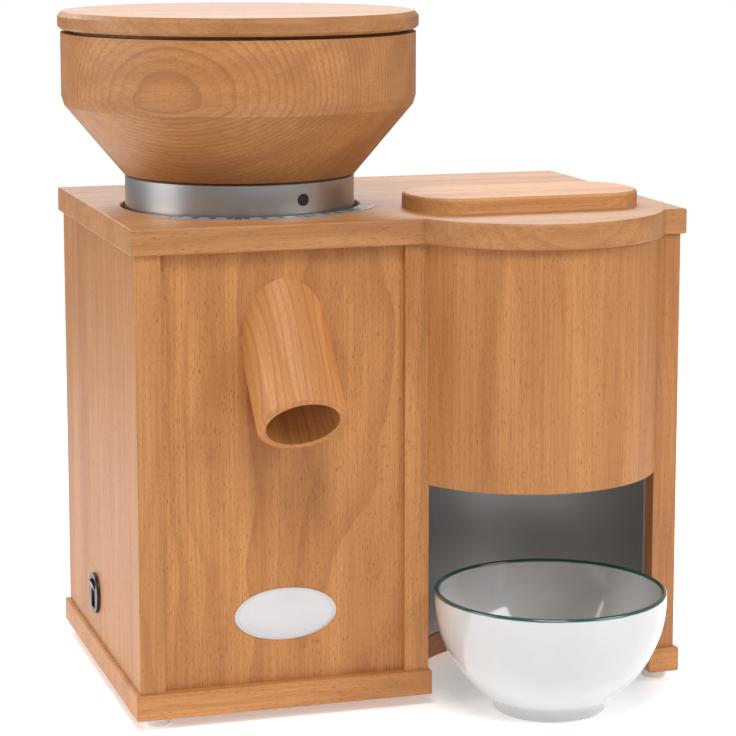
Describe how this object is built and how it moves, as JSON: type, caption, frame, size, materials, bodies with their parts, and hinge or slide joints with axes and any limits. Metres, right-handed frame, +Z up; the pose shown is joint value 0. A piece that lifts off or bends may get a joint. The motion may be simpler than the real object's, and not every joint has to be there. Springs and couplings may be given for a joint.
{
  "type": "electric grain mill with flaker",
  "caption": "Beech cabinet with a stone mill under a round wooden hopper, a slanted meal spout, and a roller flaker in a bowed housing over a white bowl.",
  "frame": {"origin": "on the table under the middle of the whole outline, bowl and hopper lid included", "axes": "+Z up, +X to the user's right, +Y to the back; the spout and the bowed housing face -Y"},
  "size_m": [0.3278, 0.2886, 0.375],
  "materials": {
    "beech": "oiled beech",
    "brushed_steel": "brushed",
    "steel": "machined",
    "clear_rubber": "milky",
    "black_plastic": "satin",
    "cream_plastic": "moulded",
    "cast_aluminium": "cast",
    "copper": "lacquered copper wire",
    "grindstone": "coarse bonded grain",
    "glazed_white": "glossy glaze"
  },
  "bodies": {
    "cabinet": {"base_board": "beech", "top_board": "beech", "left_side_panel": "beech", "right_side_panel": "beech", "middle_partition": "beech", "front_panel": "beech", "back_panel": "beech", "bow_front_panel": "beech", "bay_lining": "brushed_steel", "flaker_shelf": "beech", "feet": "clear_rubber", "foot_screws": "steel", "badge_plate": "brushed_steel", "scale_plate": "brushed_steel", "spout": "beech", "supply_gland": "black_plastic", "gland_nut": "black_plastic", "switch_bodies": "black_plastic", "grinding_chamber": "cream_plastic", "chamber_screws": "steel", "motor_top_bracket": "cast_aluminium", "motor_bottom_bracket": "cast_aluminium", "motor_stator": "steel", "motor_windings": "copper", "motor_bearings": "steel", "motor_bolts": "steel", "run_capacitor": "cast_aluminium", "capacitor_clip": "cast_aluminium", "flaker_hopper": "brushed_steel", "roller_plate_left": "steel", "roller_plate_right": "steel", "roller_plate_screws": "steel", "roller_bushes": "black_plastic", "gear_motor": "steel", "roller_scrapers": "brushed_steel", "flake_chute": "brushed_steel"},
    "hopper_assembly": {"hopper_ring": "brushed_steel", "drive_ring": "cast_aluminium", "hopper": "beech", "hopper_screws": "steel", "index_dot": "black_plastic"},
    "hopper_cover": {"hopper_lid": "beech"},
    "upper_stone_set": {"stone_carrier": "cast_aluminium", "upper_stone": "grindstone"},
    "spindle": {"motor_shaft": "steel", "motor_rotor": "steel", "cooling_fan": "black_plastic", "stone_hub": "cast_aluminium", "lower_stone": "grindstone", "spindle_nut": "steel"},
    "rear_roller_set": {"rear_roller": "steel", "rear_gear": "steel", "drive_gear": "steel"},
    "front_roller_set": {"front_roller": "steel", "front_gear": "steel"},
    "pinion_set": {"drive_pinion": "steel"},
    "left_rocker_body": {"left_rocker": "black_plastic"},
    "right_rocker_body": {"right_rocker": "black_plastic"},
    "flaker_cover": {"flaker_lid": "beech"},
    "bowl": {"catch_bowl": "glazed_white"}
  },
  "joints": [
    {"name": "hopper_turn", "type": "hinge", "parent": "cabinet", "child": "hopper_assembly", "pos_m": [-0.0647, 0.03325, 0.268], "axis": [0, 0, 1], "range_deg": [-60, 120]},
    {"name": "stone_feed", "type": "slide", "parent": "hopper_assembly", "child": "upper_stone_set", "axis": [0, 0, 1], "range_m": [-0.00052, 0.00105]},
    {"name": "hopper_lid_lift", "type": "slide", "parent": "hopper_assembly", "child": "hopper_cover", "axis": [0, 0, 1], "range_m": [0, 0.12]},
    {"name": "spindle_spin", "type": "hinge", "parent": "cabinet", "child": "spindle", "pos_m": [-0.0647, 0.03325, 0.15], "axis": [0, 0, 1], "continuous": true},
    {"name": "rear_roller_spin", "type": "hinge", "parent": "cabinet", "child": "rear_roller_set", "pos_m": [0.08105, -0.02555, 0.172], "axis": [1, 0, 0], "continuous": true},
    {"name": "front_roller_spin", "type": "hinge", "parent": "cabinet", "child": "front_roller_set", "pos_m": [0.08105, -0.05595, 0.172], "axis": [1, 0, 0], "continuous": true},
    {"name": "pinion_spin", "type": "hinge", "parent": "cabinet", "child": "pinion_set", "pos_m": [0.08105, 0.02245, 0.172], "axis": [1, 0, 0], "continuous": true},
    {"name": "left_rocker_tilt", "type": "hinge", "parent": "cabinet", "child": "left_rocker_body", "pos_m": [-0.1437, 0.05625, 0.045], "axis": [0, 1, 0], "range_deg": [0, 20]},
    {"name": "right_rocker_tilt", "type": "hinge", "parent": "cabinet", "child": "right_rocker_body", "pos_m": [0.1593, 0.05625, 0.045], "axis": [0, -1, 0], "range_deg": [0, 20]},
    {"name": "flaker_lid_lift", "type": "slide", "parent": "cabinet", "child": "flaker_cover", "axis": [0.35, -0.35, 0.8689], "range_m": [0, 0.1]},
    {"name": "bowl_pull", "type": "slide", "parent": "cabinet", "child": "bowl", "axis": [0, -1, 0], "range_m": [0, 0.15]}
  ],
  "couplings": [
    {"joint": "stone_feed", "follows": "hopper_turn", "m_per_rad": 0.00047746},
    {"joint": "front_roller_spin", "follows": "rear_roller_spin", "ratio": -1},
    {"joint": "pinion_spin", "follows": "rear_roller_spin", "ratio": -3}
  ]
}
